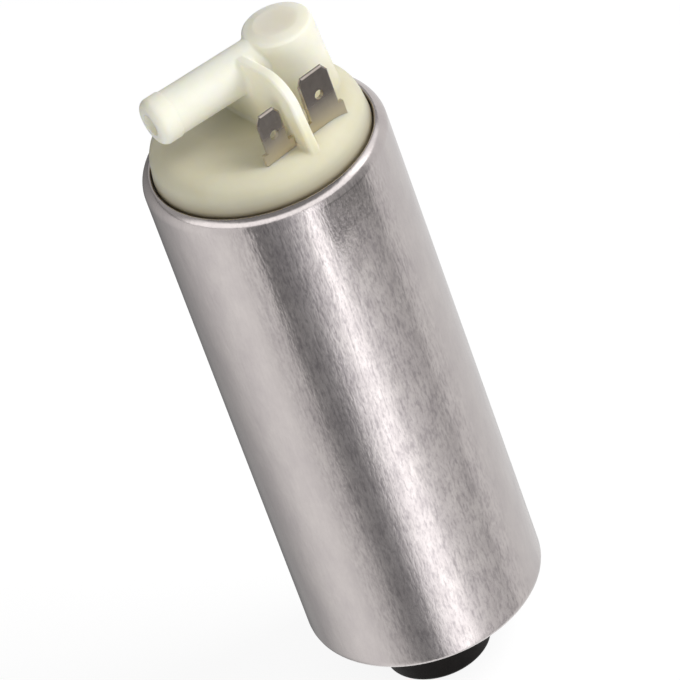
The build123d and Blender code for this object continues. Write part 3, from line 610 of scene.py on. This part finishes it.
def windingLoop(c, coil, row, column, coreLow, coreHigh):
    # one wire: up at the go side, over a crown, down at the back side and under a crown again
    go, back = c["goRadii"][row], c["backRadii"][row]
    goTurn = coil / c["slots"] + column * c["goSpread"] / go / (2 * math.pi)
    span = c["pitch"] / c["slots"]
    backTurn = coil / c["slots"] + span - column * c["backSpread"] / back / (2 * math.pi)
    t = np.linspace(0, 1, c["arc"])
    swell = np.sin(math.pi * t)
    # the crown: turn and radius go evenly from one slot to the other, and the height is the root
    # of a half sine
    turn = goTurn + (backTurn - goTurn) * t
    radius = (go + (back - go) * t) * (1 - c["crownPull"] * swell * (1 + t) / 2)
    radius = np.maximum(radius, c["innermost"])
    lift = np.sqrt(swell) * (c["crownLow"] + c["crownStep"] * coil + c["rowLift"] * row)
    up = np.linspace(coreLow, coreHigh, c["straight"])
    loop = [(go, goTurn, z) for z in up]
    loop += list(zip(radius, turn, coreHigh + lift))[1:-1]
    loop += [(back, backTurn, z) for z in up[::-1]]
    loop += list(zip(radius, turn, coreLow - lift))[::-1][1:-1]
    r, share, z = np.array(loop).T
    path = circling((0, 0), r, 2 * math.pi * share, z)
    return tubeAlong(path, c["radius"], c["sides"], closed=True)


def makeWinding(c):
    core = nodeBox("core_insulator_lower")[0][2], nodeBox("core_insulator_upper")[1][2]
    tubes = [windingLoop(c, coil, row, column, *core) for coil in range(c["slots"])
             for row in range(len(c["goRadii"])) for column in c["columns"]]
    addPiece(meshFrom("armature_wires", tubes), "armature", "copper", ["armature_windings"])


# Commutator hooks: one bent tang on each segment, and the end of the coil's wire, which goes down
# from it to the winding
hooks = dict(count=8, rim=10.7, reach=12.2, foot=11.25, top=97.3, bottom=95.2, radius=0.42,
             bendSteps=13)
coilEnds = dict(radius=0.3, top=90.2, start=11.2, inset=0.75, points=16, sides=8,
                lean=0.10)  # in radians


def makeHooks(c, e):
    tangs, ends = [], []
    middle, half = (c["top"] + c["bottom"]) / 2, (c["top"] - c["bottom"]) / 2
    # the tang: straight out from the rim, then a half circle down and back
    bend = np.linspace(0, math.pi, c["bendSteps"])
    out = np.concatenate([[c["rim"]], c["reach"] - half + half * np.sin(bend), [c["foot"]]])
    z = np.concatenate([[c["top"]], middle + half * np.cos(bend), [c["bottom"]]])
    for k in range(c["count"]):
        a = 2 * math.pi * k / c["count"]
        tangs.append(tubeAlong(circling((0, 0), out, a, z), c["radius"]))
        # the wire's end: outward by the square of the way up, and round by a small angle
        s = np.linspace(0, 1, e["points"])
        radius = e["start"] + (c["reach"] - e["inset"] - e["start"]) * s ** 2
        path = circling((0, 0), radius, a + e["lean"] * (1 - s), e["top"] + (middle - e["top"]) * s)
        ends.append(tubeAlong(path, e["radius"], e["sides"]))
    addPiece(meshFrom("commutator_hooks", tangs), "armature", "copper")
    addPiece(meshFrom("coil_ends", ends), "armature", "copper")


# Choke coils: one layer of enamelled wire on each ferrite rod
chokes = dict(
    choke_coil_narrow=dict(rod="choke_core_narrow", tail="terminal_narrow"),
    choke_coil_wide=dict(rod="choke_core_wide", tail="terminal_wide"),
)
chokeWire = dict(radius=0.33, turns=9.5, steps=26, clearance=0.03, foot=0.7, headroom=1.2,
                 abovePoints=6, tailPoints=4)


def makeChoke(node, c, w):
    # down from the strip, round the rod in a helix, and straight out to the terminal's tail
    low, high = nodeBox(node)
    rodLow, rodHigh = nodeBox(c["rod"])
    x, y = (rodLow[:2] + rodHigh[:2]) / 2
    coil = (rodHigh[0] - rodLow[0]) / 2 + w["radius"] + w["clearance"]
    bottom, top = low[2] + w["foot"], rodHigh[2] - w["headroom"]
    t = np.linspace(0, 1, int(w["turns"] * w["steps"]))
    angle = math.pi / 2 + 2 * math.pi * w["turns"] * t
    helix = circling((x, y), coil, angle, top + (bottom - top) * t)
    above = [(x, y + coil, z) for z in np.linspace(high[2], top + w["radius"], w["abovePoints"])]
    away = np.linspace(y - coil - w["radius"], nodeBox(c["tail"])[1][1], w["tailPoints"])
    outward = [(x, far, bottom) for far in away]
    tube = tubeAlong(np.concatenate([above, helix, outward]), w["radius"])
    addPiece(meshFrom(node + "_wire", [tube]), "housing", "copper", [node])


makeShell(shellShape)
for node, settings in springs.items():
    makeSpring(node, settings)
for node, settings in leads.items():
    makeLead(node, leadStrands)
for node in ("upper_seal", "lower_seal"):
    makeSeal(node, sealShape)
makeWinding(winding)
makeHooks(hooks, coilEnds)
for node, settings in chokes.items():
    makeChoke(node, settings, chokeWire)


# Floor: pale, white to the camera and to what reflects it, and it keeps a soft shadow
floorLook = dict(size=6000.0, paint=0.86, roughness=0.9, glow=1.12, share=0.78,
                 rays=("Is Camera Ray", "Is Glossy Ray", "Is Transmission Ray"))


def makeFloor(c):
    half = c["size"] / 2 * mm
    mesh = bpy.data.meshes.new("floor")
    corners = [(-half, -half, 0), (half, -half, 0), (half, half, 0), (-half, half, 0)]
    mesh.from_pydata(corners, [], [(0, 1, 2, 3)])
    floor = added("floor", mesh)
    material, tree = nodeMaterial("floorWhite")
    shader = setInputs(tree, tree.nodes["Principled BSDF"], {
        "Base Color": (c["paint"], c["paint"], c["paint"], 1), "Roughness": c["roughness"],
        "Specular IOR Level": 0.0})
    # the floor's own glow takes its share where one of the rays arrives
    path = addNode(tree, "LightPath", {})
    seen = path.outputs[c["rays"][0]]
    for ray in c["rays"][1:]:
        seen = maths(tree, "MAXIMUM", seen, path.outputs[ray])
    glow = addNode(tree, "Emission", {"Strength": c["glow"]})
    blend = addNode(tree, "MixShader", {
        0: maths(tree, "MULTIPLY", seen, c["share"]), 1: shader.outputs[0], 2: glow.outputs[0]})
    setInputs(tree, tree.nodes["Material Output"], {"Surface": blend.outputs[0]})
    mesh.materials.append(material)


# World: level lights the pump, and the camera sees white. Reflections see the room: a lit band
# halfway up in front, less of it behind, and a window at the right. The room's stops are (sine of
# the elevation, level), the window's are (cosine from its axis, level), and the depth's are
# (cosine from the camera's side, brought from -1..1 into 0..1, level).
worldLight = dict(
    level=0.31,
    room=((0.0, 0.50), (0.42, 0.50), (0.50, 1.45), (0.80, 1.45), (0.89, 0.28), (1.0, 0.28)),
    depth=((0.0, 0.30), (0.34, 0.30), (0.48, 1.0), (1.0, 1.0)),
    window=((0.0, 0.0), (0.86, 0.0), (0.96, 1.0)),
    windowAzimuth=81.0, windowElevation=32.0, windowLevel=0.8)


def makeWorld(c):
    world = bpy.data.worlds.new("studio")
    world.use_nodes = True
    tree = world.node_tree
    direction = addNode(tree, "TexCoord", {}).outputs["Generated"]

    def seenAlong(axis, stops, share=1.0):
        # the direction's part along an axis, through a ramp; a share of 0.5 brings it into 0..1
        part = maths(tree, "MULTIPLY_ADD", alongAxis(tree, direction, axis), share, 1 - share)
        return addRamp(tree, part, stops)

    room = seenAlong(upward, c["room"])
    depth = seenAlong(facing(cameraView["azimuth"], 0), c["depth"], 0.5)
    window = seenAlong(facing(c["windowAzimuth"], c["windowElevation"]), c["window"])
    reflected = maths(tree, "MULTIPLY_ADD", window, c["windowLevel"],
                      maths(tree, "MULTIPLY", room, depth))
    path = addNode(tree, "LightPath", {})
    strength = c["level"]
    levels = {"Is Glossy Ray": reflected, "Is Transmission Ray": 1.0, "Is Camera Ray": 1.0}
    for ray, level in levels.items():
        # each kind of ray takes its own level in place of the one so far
        other = maths(tree, "SUBTRACT", 1.0, path.outputs[ray])
        strength = maths(tree, "MULTIPLY_ADD", path.outputs[ray], level,
                         maths(tree, "MULTIPLY", strength, other))
    setInputs(tree, tree.nodes["Background"], {"Color": (1, 1, 1, 1), "Strength": strength})
    scene.world = world


# Lamps: square and soft, and the metal doesn't mirror them
lamps = dict(
    key=dict(azimuth=52.0, elevation=42.0, distance=900.0, size=500.0, watts=5.8),
    fill=dict(azimuth=-48.0, elevation=14.0, distance=1000.0, size=700.0, watts=3.6),
)


def makeLamp(name, c):
    # stands off along its direction and looks at the middle of the pump
    data = bpy.data.lights.new(name, "AREA")
    data.size = c["size"] * mm
    data.energy = c["watts"]
    lamp = added(name, data)
    lamp.visible_glossy = False
    back = facing(c["azimuth"], c["elevation"])
    lamp.location = back * c["distance"] * mm + aim
    lamp.rotation_mode = "QUATERNION"
    lamp.rotation_quaternion = (-back).to_track_quat("-Z", "Y")


def addSheet(name, points, paint, color):
    # a sheet through a grid of points that glows by its paint or a colour, and which only
    # reflections see; paint is a colour for each point
    mesh = bpy.data.meshes.new(name)
    faces = gridFaces(*points.shape[:2])
    mesh.from_pydata((points.reshape(-1, 3) * mm).tolist(), [], faces.tolist())
    material, tree = nodeMaterial(name)
    if paint is not None:
        tone = mesh.color_attributes.new("tone", "FLOAT_COLOR", "POINT")
        tone.data.foreach_set("color", paint.reshape(-1).astype(np.float32))
        painted = addNode(tree, "VertexColor", {})
        painted.layer_name = "tone"
        color = painted.outputs["Color"]
    glow = addNode(tree, "Emission", {"Color": color})
    setInputs(tree, tree.nodes["Material Output"], {"Surface": glow.outputs[0]})
    mesh.materials.append(material)
    sheet = added(name, mesh)
    sheet.visible_camera = False
    sheet.visible_diffuse = False
    sheet.visible_shadow = False


# Graded sheet on the floor for the shell to mirror. Each place on it is a bearing, in degrees from
# the camera's, and a reach: at that bearing the shell's wall mirrors the line that starts
# under the wall and runs out at twice the bearing. At its full reach the sheet rises as a wall, so
# that the roll of the rim carries the bands on. Tones are (bearing, level by the foot, level by
# the rim), streaks and cool are (bearing, strength), and ripples are (strength, width, drift in
# radians, drift's rate). The reaches of the rows grow by the power of the spacing.
toneSheet = dict(
    radius=21.5, reach=2400.0, rise=1150.0, rimReach=159.0, rimPower=2.4, rows=60, columns=1441,
    lift=0.2, spacing=3, darkest=0.05,
    tones=((-90, 0.16, 0.14), (-82, 0.24, 0.18), (-76, 0.36, 0.27), (-68, 0.40, 0.39),
           (-60, 0.54, 0.54), (-52, 0.73, 0.72), (-44, 0.89, 0.87), (-36, 0.93, 0.96),
           (-28, 0.79, 0.85), (-22, 0.62, 0.80), (-18.9, 0.50, 0.76), (-18.0, 0.42, 0.21),
           (-14, 0.30, 0.235), (-9, 0.28, 0.28), (-4, 0.43, 0.38), (-1, 0.85, 0.53),
           (2, 1.30, 0.78), (6, 1.62, 0.98), (7.6, 1.68, 1.20), (8.4, 1.70, 2.25),
           (10, 1.70, 2.05), (12, 1.66, 1.22), (14, 1.50, 1.12), (17, 1.18, 1.04),
           (20, 0.95, 0.92), (28, 0.74, 0.70), (36, 0.63, 0.51), (41.2, 0.58, 0.49),
           (42.0, 0.77, 0.73), (52, 0.78, 0.80), (68, 0.78, 0.80), (90, 0.76, 0.80)),
    streaks=((-19, 0.0), (-17, 0.10), (-3, 0.16), (6, 0.25), (16, 0.28), (24, 0.22), (40, 0.20),
             (42, 0.0)),
    ripples=((0.6, 2.3, 1.5, 17), (0.4, 1.4, 1.0, 11)),
    cool=((-20, 0.0), (-8, 0.018), (14, 0.012), (30, 0.0)),
)


def makeToneSheet(c):
    bearings = np.linspace(-90, 90, c["columns"])
    b = np.radians(bearings)
    reaches = c["reach"] * np.append(np.linspace(0, 1, c["rows"] - 1) ** c["spacing"], 1)
    lifts = np.append(np.full(c["rows"] - 1, c["lift"]), c["rise"])[:, None] + 0 * bearings
    # in the camera's directions: sideways = r sin b + reach sin 2b, nearer = r cos b + reach cos 2b
    sideways = c["radius"] * np.sin(b) + np.outer(reaches, np.sin(2 * b))
    nearer = c["radius"] * np.cos(b) + np.outer(reaches, np.cos(2 * b))
    a = math.radians(cameraView["azimuth"])
    points = np.stack([sideways * math.cos(a) + nearer * math.sin(a),
                       sideways * math.sin(a) - nearer * math.cos(a), lifts], -1)
    places, foot, rim = np.array(c["tones"]).T
    share = (np.clip(reaches / c["rimReach"], 0, 1) ** c["rimPower"])[:, None]
    level = np.interp(bearings, places, foot) * (1 - share)
    level = level + np.interp(bearings, places, rim) * share
    # streaks: sine waves over the bearing, each of which drifts by another sine
    ripple = sum(strength * np.sin(2 * math.pi * bearings / width + drift * np.sin(b * rate))
                 for strength, width, drift, rate in c["ripples"])
    ripple = ripple * np.interp(bearings, *np.array(c["streaks"]).T)
    level = np.clip(level + ripple, c["darkest"], None)
    cool = np.interp(bearings, *np.array(c["cool"]).T)
    paint = np.stack([level * (1 - cool), level * (1 - cool / 2), level * (1 + cool),
                      np.ones(level.shape)], -1)
    addSheet("toneSheet", points, paint, None)


# Dark cards for what stands above the rim, the second of which rises as a wall: bearings from the
# camera's, and radii and heights from the inner edge to the outer one
flags = dict(
    bladeFlag=dict(bearings=(28.0, 80.0), radii=(176.0, 300.0), heights=(0.3, 0.3), level=0.22),
    rimFlag=dict(bearings=(30.0, 82.0), radii=(300.0, 2380.0, 2380.0), heights=(0.3, 0.3, 1150.0),
                 level=0.40),
)
flagColumns = 25


def makeFlag(name, c):
    # a ring sector: radius times the sine and cosine of its bearing, row by row
    angles = np.radians(np.linspace(*c["bearings"], flagColumns) + cameraView["azimuth"])
    points = np.stack([np.outer(c["radii"], np.sin(angles)), -np.outer(c["radii"], np.cos(angles)),
                       np.outer(c["heights"], np.ones(flagColumns))], -1)
    addSheet(name, points, None, (c["level"], c["level"], c["level"], 1))


makeFloor(floorLook)
makeWorld(worldLight)
for name, settings in lamps.items():
    makeLamp(name, settings)
makeToneSheet(toneSheet)
for name, settings in flags.items():
    makeFlag(name, settings)
print("stage lit")
